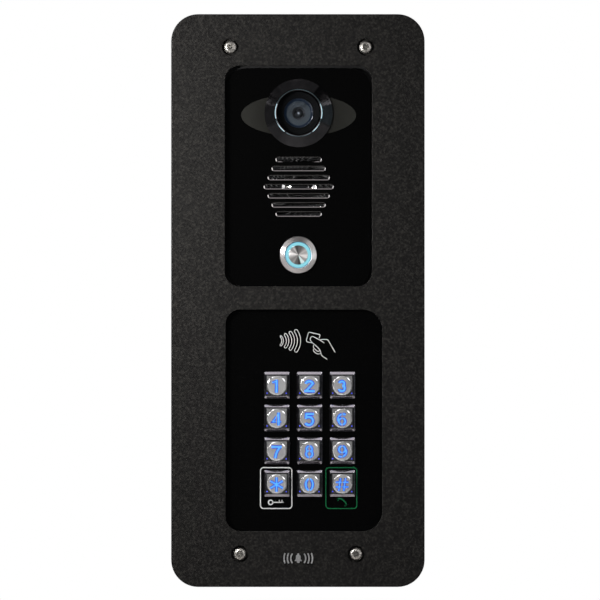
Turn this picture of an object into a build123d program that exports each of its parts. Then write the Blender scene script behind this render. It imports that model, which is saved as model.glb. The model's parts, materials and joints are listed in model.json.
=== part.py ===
from build123d import *
import os
from math import atan2, degrees

# Door intercom panel: a steel wall box closed by a black front plate. The plate's two
# windows show a video and speech module above, and a lit metal keypad below.
# Millimetres, +Z up. The wall is the plane Y = 0 and the panel faces -Y.
# A level is a distance out from the wall.

os.makedirs("parts", exist_ok=True)

# ------------------------------------------------------------------ driving dimensions

plate_width = 150.0
plate_height = 339.0
plate_thickness = 3.0
plate_corner = 16.0

box_width = 144.0
box_height = 333.0
box_depth = 40.0
box_corner = 13.0
sheet = 2.0  # the box's sheet steel

gasket_thickness = 1.5
opening_width = 118.0  # the box's mouth, inside its folded lip
opening_height = 286.0
opening_corner = 6.0

# Windows in the front plate: centre, size and corner radii.
speech_x = 0.36
speech_z = 73.7
speech_width = 87.0
speech_height = 130.5
window_corner = 8.6
keypad_x = 3.6
keypad_z = -70.95
keypad_width = 92.6
keypad_height = 131.1
keypad_right_corner = 11.7

# Gloss fascias behind the windows.
fascia_thickness = 2.0
speech_fascia_x = 0.2
speech_fascia_z = 72.8
speech_fascia_width = 85.0
speech_fascia_height = 129.6
speech_fascia_corner = 11.4
keypad_fascia_left = -41.4
keypad_fascia_right = 52.6
keypad_fascia_height = 132.0
keypad_fascia_corner = 12.8

# Modules hang on studs welded behind the plate, just outside each window.
flange_thickness = 2.0
flange_corner = 7.0
flange_end = 3.6  # past the window's top and bottom
flange_edge = 2.6  # past the studs
stud_offset = 5.3  # past the window's side
stud_radius = 1.48
stud_length = 8.0
stud_hole_radius = 1.7
stud_boss_radius = 2.4
stud_rise = 52.0  # above and below the window's centre

# Four M4 pin-socket security screws.
screw_z = 150.0
screw_top_x = 40.0
screw_bottom_x = 34.4
screw_head_radius = 3.8
screw_head_height = 2.2
screw_shank_radius = 1.98
screw_length = 10.0
counterbore_radius = 5.1
counterbore_depth = 1.6

# Camera and infra-red windows.
camera_x = 0.4
camera_z = 111.0
bezel_radius = 20.15
bezel_rim_radius = 14.1
bezel_height = 4.5
bezel_glass_radius = 13.1
bezel_bore_radius = 12.6
bezel_tube_radius = 14.8
eye_z = 109.8
eye_half_width = 34.1
eye_half_height = 12.6
lens_ring_radius = 8.65
lens_radius = 8.05
led_radius = 2.5
led_offsets = (23.8, 30.2)

# Speaker and its slots.
speaker_x = 0.45
speaker_z = 67.45
speaker_radius = 25.0
slot_count = 7
slot_pitch = 5.385
slot_height = 2.2  # behind the flared mouth, as slot_longest is
slot_longest = 40.4
slot_step = 4.7  # each slot is this much shorter than its neighbour nearer the middle
slot_chamfer = 0.5  # across the face
slot_chamfer_depth = 0.38

# Call button: a 19 mm vandal-proof push button.
button_x = 0.2
button_z = 27.0
button_bezel_radius = 10.75
button_thread_radius = 9.4
button_ring_radius = 7.6
button_cap_radius = 5.7
button_hole_radius = 9.6
button_travel = 2.0

# Keypad: three columns and four rows.
key_grid_x = 6.95
key_grid_z = -79.1
key_pitch = 19.4
key_width = 12.4
key_height = 12.0
key_drop = 0.15  # the key's middle below its place in the grid, as for the other drops
key_corner = 0.8
plateau_width = 11.8
plateau_height = 11.4
plateau_x = -0.05
plateau_drop = 0.2
corner_fall = 1.2  # the plateau falls away at its two lower corners
corner_run = 3.75
key_disc_radius = 5.65
key_disc_height = 0.35
key_disc_drop = 0.3
disc_bevel = 0.22
disc_bevel_run = 0.5
key_flange = 17.4
collar_width = 15.0  # outside the bevelled collar round each key
collar_height = 15.7
collar_drop = 0.1
collar_bevel_height = 1.2
collar_bevel_side = 0.75  # across the left and right bevels
collar_bevel_end = 1.5  # across the top and bottom bevels
key_clearance = 0.2
mark_x = -0.2
mark_drop = 0.7
mark_stroke = 1.9
mark_rim = 0.38  # the lit core of a mark stands inside a lower rim
mark_gap = 0.03  # between the metal and the clear resin, on each side of a stroke

# ------------------------------------------------------------------------------ levels

plate_back = box_depth + gasket_thickness
plate_front = plate_back + plate_thickness
fascia_front = plate_back
fascia_back = fascia_front - fascia_thickness
flange_back = fascia_back - flange_thickness
camera_board_back = 28.0
camera_board_front = camera_board_back + 1.6
main_board_back = 8.0
main_board_front = main_board_back + 1.6
keypad_frame_back = flange_back - 1.8
key_back = keypad_frame_back - 1.3
mat_front = key_back - 3.1
mat_back = mat_front - 1.5
collar_front = fascia_front + 1.35

# ------------------------------------------------------------------ places that repeat

screw_points = [(side * screw_top_x, screw_z) for side in (-1, 1)]
screw_points += [(side * screw_bottom_x, -screw_z) for side in (-1, 1)]

speech_left = speech_x - speech_width / 2 - stud_offset
speech_right = speech_x + speech_width / 2 + stud_offset
keypad_left = keypad_x - keypad_width / 2 - stud_offset
keypad_right = keypad_x + keypad_width / 2 + stud_offset
stud_rises = (-stud_rise, stud_rise)
speech_studs = [(x, speech_z + rise) for x in (speech_left, speech_right) for rise in stud_rises]
keypad_studs = [(x, keypad_z + rise) for x in (keypad_left, keypad_right) for rise in stud_rises]

board_width = 92.0
board_height = 130.0
board_z = 60.0
board_points = [(x, board_z + rise) for x in (-42.0, 42.0) for rise in (-61.0, 61.0)]
fixing_x = 55.0
fixing_z = 135.0
fixing_radius = 2.75
entry_z = -95.0
entry_radius = 8.0
grommet_neck_radius = 10.9


def front(level):
    """The plane at a level, seen from the front: its x is the panel's X, its y the panel's Z."""
    return Plane.XZ.offset(level)


def half_section(x, z):
    """The plane through a round piece's axis at (x, z): its x is the radius, its y the level."""
    return Plane(origin=(x, 0, z), x_dir=(1, 0, 0), z_dir=(0, 0, -1))


def axis_at(x, z):
    """The axis of a round piece centred on (x, z), pointing out of the wall."""
    return Axis((x, 0, z), (0, -1, 0))


def slot_length(row):
    """Length of one speaker slot. Row 0 is the middle one."""
    return slot_longest - slot_step * abs(row)


# ---------------------------------------------------------------------------- wall box

with BuildPart() as back_box:
    with BuildSketch(front(0)):
        RectangleRounded(box_width, box_height, box_corner)
    extrude(amount=box_depth)
    with BuildSketch(front(sheet)):
        RectangleRounded(box_width - 2 * sheet, box_height - 2 * sheet, box_corner - sheet)
    extrude(amount=box_depth - 2 * sheet, mode=Mode.SUBTRACT)
    with BuildSketch(front(box_depth - sheet)):
        RectangleRounded(opening_width, opening_height, opening_corner)
    extrude(amount=sheet, mode=Mode.SUBTRACT)
    # Drawn collars behind the lip give the screws enough thread.
    with BuildSketch(front(box_depth - sheet)):
        with Locations(*screw_points):
            Circle(3.6)
    extrude(amount=-4)
    with BuildSketch(front(box_depth)):
        with Locations(*screw_points):
            Circle(2.0)
    extrude(amount=-8, mode=Mode.SUBTRACT)
    # Pillars for the main board, drilled for its screws.
    with BuildSketch(front(sheet)):
        with Locations(*board_points):
            Circle(3.0)
    extrude(amount=main_board_back - sheet)
    with BuildSketch(front(main_board_back)):
        with Locations(*board_points):
            Circle(1.5)
    extrude(amount=-5, mode=Mode.SUBTRACT)
    # Wall fixings and the cable entry.
    with BuildSketch(front(0)):
        with GridLocations(2 * fixing_x, 2 * fixing_z, 2, 2):
            Circle(fixing_radius)
        with Locations((0, entry_z)):
            Circle(grommet_neck_radius + 0.1)
    extrude(amount=sheet, mode=Mode.SUBTRACT)
back_box.part.label = "back_box"
export_step(back_box.part, "parts/back_box.step")

with BuildPart() as cable_grommet:
    with BuildSketch(half_section(0, entry_z)):
        Polygon(
            (entry_radius, 0),
            (grommet_neck_radius, 0),
            (grommet_neck_radius, sheet),
            (13.5, sheet),
            (13.0, sheet + 2.0),
            (entry_radius, sheet + 2.0),
            align=None,
        )
    revolve(axis=axis_at(0, entry_z))
cable_grommet.part.label = "cable_grommet"
export_step(cable_grommet.part, "parts/cable_grommet.step")

with BuildPart() as front_gasket:
    with BuildSketch(front(box_depth)):
        RectangleRounded(box_width - 1, box_height - 1, box_corner - 0.5)
        RectangleRounded(opening_width, opening_height, opening_corner, mode=Mode.SUBTRACT)
        with Locations(*screw_points):
            Circle(2.4, mode=Mode.SUBTRACT)
    extrude(amount=gasket_thickness)
front_gasket.part.label = "front_gasket"
export_step(front_gasket.part, "parts/front_gasket.step")

# ------------------------------------------------------------------------- front plate

with BuildPart() as front_plate:
    with BuildSketch(front(plate_back)):
        RectangleRounded(plate_width, plate_height, plate_corner)
    extrude(amount=plate_thickness)
    fillet(front_plate.faces().sort_by(Axis.Y)[0].outer_wire().edges(), 0.8)
    with BuildSketch(front(plate_back)):
        with Locations((speech_x, speech_z)):
            RectangleRounded(speech_width, speech_height, window_corner)
    extrude(amount=plate_thickness, mode=Mode.SUBTRACT)
    with BuildSketch(front(plate_back)) as keypad_window:
        with Locations((keypad_x, keypad_z)):
            Rectangle(keypad_width, keypad_height)
        fillet(keypad_window.vertices().group_by(Axis.X)[0], window_corner)
        fillet(keypad_window.vertices().group_by(Axis.X)[-1], keypad_right_corner)
    extrude(amount=plate_thickness, mode=Mode.SUBTRACT)
    rims = front_plate.faces().sort_by(Axis.Y)[0].inner_wires()
    fillet(rims.edges(), 0.4)
    with Locations(front(plate_front)):
        with Locations(*screw_points):
            CounterBoreHole(2.2, counterbore_radius, counterbore_depth)
    with BuildSketch(front(plate_back)):
        with Locations(*speech_studs, *keypad_studs):
            Circle(stud_radius)
    extrude(amount=-stud_length)
front_plate.part.label = "front_plate"
export_step(front_plate.part, "parts/front_plate.step")

with BuildPart() as security_screws:
    seat = plate_front - counterbore_depth
    crown = seat + screw_head_height
    for x, z in screw_points:
        with BuildSketch(half_section(x, z)):
            with BuildLine():
                Polyline(
                    (0, crown),
                    (0, seat - screw_length),
                    (screw_shank_radius - 0.4, seat - screw_length),
                    (screw_shank_radius, seat - screw_length + 0.4),
                    (screw_shank_radius, seat),
                    (screw_head_radius, seat),
                    (screw_head_radius, seat + 0.35),
                )
                ThreePointArc((screw_head_radius, seat + 0.35), (3.2, seat + 1.45), (2.1, crown))
                Line((2.1, crown), (0, crown))
            make_face()
        revolve(axis=axis_at(x, z))
    # Six-lobed socket with a centre pin.
    with BuildSketch(front(crown)):
        with Locations(*screw_points):
            Circle(1.35)
            with PolarLocations(1.35, 6):
                Circle(0.45)
    extrude(amount=-1.4, mode=Mode.SUBTRACT)
    with BuildSketch(front(crown - 1.4)):
        with Locations(*screw_points):
            Circle(0.55)
    extrude(amount=1.1)
security_screws.part.label = "security_screws"
export_step(security_screws.part, "parts/security_screws.step")

with BuildPart() as module_nuts:
    with BuildSketch(front(flange_back)):
        with Locations(*speech_studs, *keypad_studs):
            RegularPolygon(3.175, 6)
            Circle(1.5, mode=Mode.SUBTRACT)
    extrude(amount=-2.4)
module_nuts.part.label = "module_nuts"
export_step(module_nuts.part, "parts/module_nuts.step")

# Raised bell sign under the keypad, with three sound arcs on each side.
with BuildPart() as badge:
    with BuildSketch(front(plate_front)):
        with Locations((0.2, -152.5)):
            with BuildSketch(mode=Mode.PRIVATE) as bell:
                with BuildLine():
                    Line((-2.3, -1.6), (2.3, -1.6))
                    ThreePointArc((2.3, -1.6), (1.6, -0.6), (1.4, 0.6))
                    ThreePointArc((1.4, 0.6), (0, 2.3), (-1.4, 0.6))
                    ThreePointArc((-1.4, 0.6), (-1.6, -0.6), (-2.3, -1.6))
                make_face()
                with Locations((0, 2.4)):
                    Circle(0.55)
                with Locations((0, -1.9)):
                    Circle(0.9)
                for radius, half_angle in ((4.4, 34), (6.4, 25), (8.4, 19)):
                    for middle in (0, 180):
                        arc = CenterArc((0, 0), radius, middle - half_angle, 2 * half_angle)
                        SlotArc(arc, 0.85)
            add(bell.sketch)
    extrude(amount=0.6)
badge.part.label = "badge"
export_step(badge.part, "parts/badge.step")

# ----------------------------------------------------------------------- speech module

with BuildPart() as speech_fascia:
    with BuildSketch(front(fascia_back)):
        with Locations((speech_fascia_x, speech_fascia_z)):
            RectangleRounded(speech_fascia_width, speech_fascia_height, speech_fascia_corner)
        with Locations((camera_x, eye_z)):
            Ellipse(eye_half_width, eye_half_height, mode=Mode.SUBTRACT)
        with Locations((camera_x, camera_z)):
            Circle(bezel_tube_radius + 0.2, mode=Mode.SUBTRACT)
        with Locations((button_x, button_z)):
            Circle(button_hole_radius, mode=Mode.SUBTRACT)
    extrude(amount=fascia_thickness)
    with BuildSketch(front(fascia_back)):
        for row in range(-(slot_count // 2), slot_count // 2 + 1):
            with Locations((speaker_x, speaker_z + row * slot_pitch)):
                SlotOverall(slot_length(row), slot_height)
    extrude(amount=fascia_thickness, mode=Mode.SUBTRACT)
    # Each slot's mouth flares out.
    flare = degrees(atan2(slot_chamfer, slot_chamfer_depth))
    with BuildSketch(front(fascia_front)):
        for row in range(-(slot_count // 2), slot_count // 2 + 1):
            with Locations((speaker_x, speaker_z + row * slot_pitch)):
                SlotOverall(slot_length(row) + 2 * slot_chamfer, slot_height + 2 * slot_chamfer)
    extrude(amount=-slot_chamfer_depth, taper=flare, mode=Mode.SUBTRACT)
speech_fascia.part.label = "speech_fascia"
export_step(speech_fascia.part, "parts/speech_fascia.step")

# Carrier: a moulded tray that holds the fascia, the camera, the speaker and the button.
microphone_point = (33.0, 47.0)
with BuildPart() as speech_carrier:
    flange_width = speech_width + 2 * (stud_offset + flange_edge)
    with BuildSketch(front(flange_back)):
        with Locations((speech_x, speech_z)):
            RectangleRounded(flange_width, speech_height + 2 * flange_end, flange_corner)
    extrude(amount=fascia_front - flange_back)
    with BuildSketch(front(fascia_back)):
        with Locations((speech_x, speech_z)):
            RectangleRounded(speech_width + 2, speech_height + 2, window_corner + 1)
    extrude(amount=fascia_thickness, mode=Mode.SUBTRACT)
    # Rings that centre the speaker and the microphone, and posts for the camera board.
    with BuildSketch(front(flange_back)):
        with Locations((speaker_x, speaker_z)):
            Circle(speaker_radius + 2)
            Circle(speaker_radius + 0.2, mode=Mode.SUBTRACT)
        with Locations(microphone_point):
            Circle(6.2)
            Circle(4.95, mode=Mode.SUBTRACT)
    extrude(amount=-4)
    with BuildSketch(front(flange_back)):
        with Locations((camera_x, eye_z)):
            with GridLocations(61, 20, 2, 2):
                Circle(2.2)
    extrude(amount=camera_board_front - flange_back)
    with BuildSketch(front(flange_back)):
        with Locations((speaker_x, speaker_z)):
            Circle(speaker_radius - 3.2)
        with Locations((camera_x, camera_z)):
            Circle(bezel_tube_radius + 0.2)
        with Locations((button_x, button_z)):
            Circle(button_hole_radius)
        with Locations(*speech_studs):
            Circle(stud_hole_radius)
        for offset_x in led_offsets:
            with Locations((camera_x - offset_x, eye_z), (camera_x + offset_x, eye_z)):
                Circle(led_radius + 0.3)
        with Locations(microphone_point):
            Circle(0.8)
    extrude(amount=fascia_front - flange_back, mode=Mode.SUBTRACT)
    # Sound channel from the speaker opening to the microphone.
    with BuildSketch(front(fascia_back - 0.8)):
        SlotArc(Line(microphone_point, (19, 56)), 1.6)
    extrude(amount=0.8, mode=Mode.SUBTRACT)
speech_carrier.part.label = "speech_carrier"
export_step(speech_carrier.part, "parts/speech_carrier.step")

# Two smoked wings, one on each side of the camera.
with BuildPart() as ir_window:
    with BuildSketch(front(fascia_back + 0.2)):
        with Locations((camera_x, eye_z)):
            Ellipse(eye_half_width - 0.12, eye_half_height - 0.12)
        with Locations((camera_x, camera_z)):
            Circle(bezel_tube_radius + 0.4, mode=Mode.SUBTRACT)
    extrude(amount=fascia_thickness - 0.4)
ir_window.part.label = "ir_window"
export_step(ir_window.part, "parts/ir_window.step")

with BuildPart() as ir_leds:
    for offset_x in (-led_offsets[1], -led_offsets[0], led_offsets[0], led_offsets[1]):
        with BuildSketch(half_section(camera_x + offset_x, eye_z)):
            with BuildLine():
                Polyline(
                    (0, 39.4),
                    (0, camera_board_front),
                    (led_radius + 0.4, camera_board_front),
                    (led_radius + 0.4, camera_board_front + 1),
                    (led_radius, camera_board_front + 1),
                    (led_radius, 36.9),
                )
                TangentArc((0, 39.4), (led_radius, 36.9), tangent=(1, 0))
            make_face()
        revolve(axis=axis_at(camera_x + offset_x, eye_z))
ir_leds.part.label = "ir_leds"
export_step(ir_leds.part, "parts/ir_leds.step")

glass_back = fascia_front + 1.7
glass_front = glass_back + 1.0
bezel_lip = fascia_front + bezel_height - 0.5  # the foot of the bright inner chamfer
with BuildPart() as camera_bezel:
    with BuildSketch(half_section(camera_x, camera_z)):
        Polygon(
            (bezel_bore_radius, 36.5),
            (bezel_tube_radius, 36.5),
            (bezel_tube_radius, fascia_front),
            (bezel_radius, fascia_front),
            (bezel_radius, fascia_front + 0.5),
            (bezel_rim_radius, fascia_front + bezel_height),
            (bezel_rim_radius - 0.1, fascia_front + bezel_height),
            (bezel_glass_radius + 0.25, bezel_lip),
            (bezel_glass_radius, bezel_lip),
            (bezel_glass_radius, glass_back),
            (bezel_bore_radius, glass_back),
            align=None,
        )
    revolve(axis=axis_at(camera_x, camera_z))
camera_bezel.part.label = "camera_bezel"
export_step(camera_bezel.part, "parts/camera_bezel.step")

with BuildPart() as camera_cover_glass:
    with BuildSketch(front(glass_back)):
        with Locations((camera_x, camera_z)):
            Circle(bezel_glass_radius - 0.05)
    extrude(amount=glass_front - glass_back)
camera_cover_glass.part.label = "camera_cover_glass"
export_step(camera_cover_glass.part, "parts/camera_cover_glass.step")

# Lens holder: a square foot on the board, a tube, and a black shroud behind the glass.
with BuildPart() as camera_holder:
    with BuildSketch(front(camera_board_front)):
        with Locations((camera_x, camera_z)):
            RectangleRounded(24, 24, 2)
    extrude(amount=3)
    with BuildSketch(half_section(camera_x, camera_z)):
        Polygon(
            (0, camera_board_front),
            (10.4, camera_board_front),
            (10.4, glass_back - 1.6),
            (bezel_bore_radius - 0.1, glass_back - 1.6),
            (bezel_bore_radius - 0.1, glass_back - 0.2),
            (lens_ring_radius + 0.1, glass_back - 0.6),
            (lens_ring_radius + 0.1, 37.0),
            (6.1, 37.0),
            (6.1, 32.6),
            (4.0, 32.6),
            (4.0, camera_board_front + 0.6),
            (0, camera_board_front + 0.6),
            align=None,
        )
    revolve(axis=axis_at(camera_x, camera_z))
camera_holder.part.label = "camera_holder"
export_step(camera_holder.part, "parts/camera_holder.step")

lens_seat = glass_back - 2.4
with BuildPart() as camera_lens_barrel:
    with BuildSketch(half_section(camera_x, camera_z)):
        Polygon(
            (0, 33.0),
            (6.0, 33.0),
            (6.0, 37.4),
            (lens_ring_radius, 37.4),
            (lens_ring_radius, glass_back - 1.0),
            (lens_radius, glass_back - 1.3),
            (lens_radius, lens_seat),
            (3.85, lens_seat),
            (2.6, lens_seat - 2.0),
            (0, lens_seat - 2.0),
            align=None,
        )
    revolve(axis=axis_at(camera_x, camera_z))
camera_lens_barrel.part.label = "camera_lens_barrel"
export_step(camera_lens_barrel.part, "parts/camera_lens_barrel.step")

with BuildPart() as camera_lens_glass:
    lens_edge = lens_radius - 0.05
    with BuildSketch(half_section(camera_x, camera_z)):
        with BuildLine():
            Polyline((0, glass_back - 0.7), (0, lens_seat), (lens_edge, lens_seat), (lens_edge, lens_seat + 0.7))
            TangentArc((0, glass_back - 0.7), (lens_edge, lens_seat + 0.7), tangent=(1, 0))
        make_face()
    revolve(axis=axis_at(camera_x, camera_z))
camera_lens_glass.part.label = "camera_lens_glass"
export_step(camera_lens_glass.part, "parts/camera_lens_glass.step")

with BuildPart() as camera_board:
    with BuildSketch(front(camera_board_back)):
        with Locations((camera_x, eye_z)):
            RectangleRounded(68, 27, 2)
    extrude(amount=1.6)
    # Image processor and connector on the back.
    with BuildSketch(front(camera_board_back)):
        with Locations((camera_x, eye_z)):
            Rectangle(12, 12)
        with Locations((camera_x + 24, eye_z)):
            Rectangle(6, 16)
    extrude(amount=-2.5)
camera_board.part.label = "camera_board"
export_step(camera_board.part, "parts/camera_board.step")

# ----------------------------------------------------------------------------- speaker

rim_level = 37.1  # where the film is clamped
with BuildPart() as speaker_frame:
    with BuildSketch(half_section(speaker_x, speaker_z)):
        Polygon(
            (speaker_radius, rim_level),
            (speaker_radius, rim_level - 1),
            (23.6, rim_level - 1),
            (14.0, 30.0),
            (14.0, 29.0),
            (4.0, 29.0),
            (4.0, 30.2),
            (13.2, 30.2),
            (22.4, rim_level - 0.7),
            (22.4, rim_level),
            align=None,
        )
    revolve(axis=axis_at(speaker_x, speaker_z))
speaker_frame.part.label = "speaker_frame"
export_step(speaker_frame.part, "parts/speaker_frame.step")

dome_radius = 7.0
dome_foot = 33.2
dome_crest = 35.9
film = 0.35
film_edge = speaker_radius - 0.2
with BuildPart() as speaker_cone:
    with BuildSketch(half_section(speaker_x, speaker_z)):
        with BuildLine():
            Polyline((film_edge, rim_level + film), (22.3, rim_level + film), (dome_radius, dome_foot + film))
            TangentArc((0, dome_crest + film), (dome_radius, dome_foot + film), tangent=(1, 0))
            Line((0, dome_crest + film), (0, dome_crest))
            TangentArc((0, dome_crest), (dome_radius, dome_foot), tangent=(1, 0))
            Polyline((dome_radius, dome_foot), (22.3, rim_level), (film_edge, rim_level))
            Line((film_edge, rim_level), (film_edge, rim_level + film))
        make_face()
    revolve(axis=axis_at(speaker_x, speaker_z))
speaker_cone.part.label = "speaker_cone"
export_step(speaker_cone.part, "parts/speaker_cone.step")

with BuildPart() as speaker_magnet:
    with BuildSketch(half_section(speaker_x, speaker_z)):
        Polygon(
            (0, 24.5),
            (11.5, 24.5),
            (11.5, 29.0),
            (3.9, 29.0),
            (3.9, 31.0),
            (0, 31.0),
            align=None,
        )
    revolve(axis=axis_at(speaker_x, speaker_z))
speaker_magnet.part.label = "speaker_magnet"
export_step(speaker_magnet.part, "parts/speaker_magnet.step")

with BuildPart() as microphone:
    with BuildSketch(front(flange_back - 4.4)):
        with Locations(microphone_point):
            Circle(4.85)
    extrude(amount=4.4)
    with BuildSketch(front(flange_back)):
        with Locations(microphone_point):
            Circle(1.0)
    extrude(amount=-1.0, mode=Mode.SUBTRACT)
microphone.part.label = "microphone"
export_step(microphone.part, "parts/microphone.step")

# ------------------------------------------------------------------------- call button

seal_thickness = 0.6
bezel_back = fascia_front + seal_thickness
shoulder = 38.6  # the housing's inner step, which keeps the light ring in
barrel_back = 20.0
switch_front = 30.0
spring_front = 36.5

with BuildPart() as call_button_seal:
    with BuildSketch(front(fascia_front)):
        with Locations((button_x, button_z)):
            Circle(button_bezel_radius + 0.35)
            Circle(button_thread_radius + 0.05, mode=Mode.SUBTRACT)
    extrude(amount=seal_thickness)
call_button_seal.part.label = "call_button_seal"
export_step(call_button_seal.part, "parts/call_button_seal.step")

with BuildPart() as call_button_housing:
    bore = button_ring_radius + 0.1
    wide_bore = button_ring_radius + 0.85
    with BuildSketch(half_section(button_x, button_z)):
        Polygon(
            (wide_bore, barrel_back),
            (button_thread_radius, barrel_back),
            (button_thread_radius, bezel_back),
            (button_bezel_radius, bezel_back),
            (button_bezel_radius, bezel_back + 0.7),
            (8.3, bezel_back + 2.1),
            (bore, bezel_back + 1.4),
            (bore, shoulder),
            (wide_bore, shoulder),
            align=None,
        )
    revolve(axis=axis_at(button_x, button_z))
call_button_housing.part.label = "call_button_housing"
export_step(call_button_housing.part, "parts/call_button_housing.step")

with BuildPart() as call_button_nut:
    with BuildSketch(front(flange_back)):
        with Locations((button_x, button_z)):
            RegularPolygon(13.2, 6)
            Circle(button_thread_radius + 0.05, mode=Mode.SUBTRACT)
    extrude(amount=-3)
call_button_nut.part.label = "call_button_nut"
export_step(call_button_nut.part, "parts/call_button_nut.step")

with BuildPart() as call_button_light_ring:
    with BuildSketch(half_section(button_x, button_z)):
        Polygon(
            (button_cap_radius + 0.05, spring_front),
            (button_ring_radius + 0.7, spring_front),
            (button_ring_radius + 0.7, shoulder - 0.2),
            (button_ring_radius, shoulder - 0.2),
            (button_ring_radius, bezel_back + 1.3),
            (button_ring_radius - 0.2, bezel_back + 1.5),
            (button_cap_radius + 0.05, bezel_back + 1.5),
            align=None,
        )
    revolve(axis=axis_at(button_x, button_z))
call_button_light_ring.part.label = "call_button_light_ring"
export_step(call_button_light_ring.part, "parts/call_button_light_ring.step")

with BuildPart() as call_button_cap:
    with BuildSketch(half_section(button_x, button_z)):
        Polygon(
            (0, switch_front + button_travel + 0.2),
            (2.5, switch_front + button_travel + 0.2),
            (2.5, 35.0),
            (button_cap_radius, 35.0),
            (button_cap_radius, bezel_back + 1.4),
            (button_cap_radius - 0.3, bezel_back + 1.7),
            (0, bezel_back + 1.7),
            align=None,
        )
    revolve(axis=axis_at(button_x, button_z))
call_button_cap.part.label = "call_button_cap"
export_step(call_button_cap.part, "parts/call_button_cap.step")

wire_radius = 0.4
spring_radius = 6.9
with BuildPart() as call_button_spring:
    with BuildLine() as coil:
        Helix(
            pitch=(spring_front - switch_front - 2 * wire_radius) / 3,
            height=spring_front - switch_front - 2 * wire_radius,
            radius=spring_radius,
            center=(button_x, -switch_front - wire_radius, button_z),
            direction=(0, -1, 0),
        )
    with BuildSketch(Plane(coil.line @ 0, z_dir=coil.line % 0)):
        Circle(wire_radius)
    sweep(is_frenet=True)
call_button_spring.part.label = "call_button_spring"
export_step(call_button_spring.part, "parts/call_button_spring.step")

with BuildPart() as call_button_switch:
    with BuildSketch(half_section(button_x, button_z)):
        Polygon(
            (0, 14.0),
            (8.8, 14.0),
            (8.8, barrel_back - 0.2),
            (8.3, barrel_back - 0.2),
            (8.3, switch_front),
            (0, switch_front),
            align=None,
        )
    revolve(axis=axis_at(button_x, button_z))
    # Five solder tags.
    with BuildSketch(front(14.0)):
        with Locations((button_x, button_z)):
            Rectangle(2.8, 0.5)
            with GridLocations(9, 8, 2, 2):
                Rectangle(2.8, 0.5)
    extrude(amount=-3.4)
call_button_switch.part.label = "call_button_switch"
export_step(call_button_switch.part, "parts/call_button_switch.step")

# ------------------------------------------------------------------------------ boards

relay_points = [(-31.0, 108.0), (-31.0, 88.0)]
capacitor_points = [(34.0, 112.0), (34.0, 98.0), (34.0, 84.0)]
with BuildPart() as main_board:
    with BuildSketch(front(main_board_back)):
        with Locations((0, board_z)):
            RectangleRounded(board_width, board_height, 3)
        with Locations(*board_points):
            Circle(1.6, mode=Mode.SUBTRACT)
    extrude(amount=main_board_front - main_board_back)
    with BuildSketch(front(main_board_front)):
        with Locations(*relay_points):
            Rectangle(19, 15.5)
    extrude(amount=15.5)
    with BuildSketch(front(main_board_front)):
        with Locations(*capacitor_points):
            Circle(5)
    extrude(amount=12)
    with BuildSketch(front(main_board_front)):
        with Locations((4, 96)):
            Rectangle(26, 26)
        with Locations((-26, 48)):
            Rectangle(14, 14)
        with Locations((30, 52)):
            Rectangle(8, 24)
    extrude(amount=2)
main_board.part.label = "main_board"
export_step(main_board.part, "parts/main_board.step")

with BuildPart() as board_screws:
    for x, z in board_points:
        with BuildSketch(half_section(x, z)):
            Polygon(
                (0, main_board_front - 6.0),
                (1.48, main_board_front - 6.0),
                (1.48, main_board_front),
                (2.8, main_board_front),
                (2.8, main_board_front + 1.3),
                (2.1, main_board_front + 2.0),
                (0, main_board_front + 2.0),
                align=None,
            )
        revolve(axis=axis_at(x, z))
    with BuildSketch(front(main_board_front + 2.0)):
        with Locations(*board_points):
            Rectangle(2.6, 0.6)
            Rectangle(0.6, 2.6)
    extrude(amount=-1.2, mode=Mode.SUBTRACT)
board_screws.part.label = "board_screws"
export_step(board_screws.part, "parts/board_screws.step")

# Ten-way screw terminal: wires enter from below, screws face the front.
terminal_count = 10
terminal_pitch = 5.08
terminal_z = 2.0
with BuildPart() as terminal_block:
    with BuildSketch(front(main_board_front)):
        with Locations((0, terminal_z)):
            Rectangle(terminal_count * terminal_pitch, 10)
    extrude(amount=12)
    with BuildSketch(front(main_board_front + 12)):
        with Locations((0, terminal_z)):
            with GridLocations(terminal_pitch, 1, terminal_count, 1):
                Circle(1.9)
    extrude(amount=-1.5, mode=Mode.SUBTRACT)
    with BuildSketch(Plane.XY.offset(terminal_z - 5)):
        with Locations((0, -main_board_front - 4)):
            with GridLocations(terminal_pitch, 1, terminal_count, 1):
                Rectangle(3.4, 4)
    extrude(amount=6, mode=Mode.SUBTRACT)
terminal_block.part.label = "terminal_block"
export_step(terminal_block.part, "parts/terminal_block.step")

# ------------------------------------------------------------------------------ keypad

fascia_width = keypad_fascia_right - keypad_fascia_left
fascia_x = (keypad_fascia_right + keypad_fascia_left) / 2
plate_size = (66.0, 86.0)  # the keypad's frame, mat and board share one outline
pillar_spacing = (61.0, 81.0)

with BuildPart() as keypad_fascia:
    with BuildSketch(front(flange_back)):
        with Locations((keypad_x, keypad_z)):
            flange_width = keypad_width + 2 * (stud_offset + flange_edge)
            RectangleRounded(flange_width, keypad_height + 2 * flange_end, flange_corner)
    extrude(amount=flange_thickness)
    with BuildSketch(front(fascia_back)):
        with Locations((fascia_x, keypad_z)):
            RectangleRounded(fascia_width, keypad_fascia_height, keypad_fascia_corner)
        with Locations(*keypad_studs):
            Circle(stud_boss_radius)
    extrude(amount=fascia_thickness)
    with BuildSketch(front(flange_back)):
        with Locations((key_grid_x, key_grid_z - collar_drop)):
            with GridLocations(key_pitch, key_pitch, 3, 4):
                RectangleRounded(collar_width + 0.1, collar_height + 0.1, key_corner)
        with Locations(*keypad_studs):
            Circle(stud_hole_radius)
    extrude(amount=fascia_front - flange_back, mode=Mode.SUBTRACT)
keypad_fascia.part.label = "keypad_fascia"
export_step(keypad_fascia.part, "parts/keypad_fascia.step")

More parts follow.
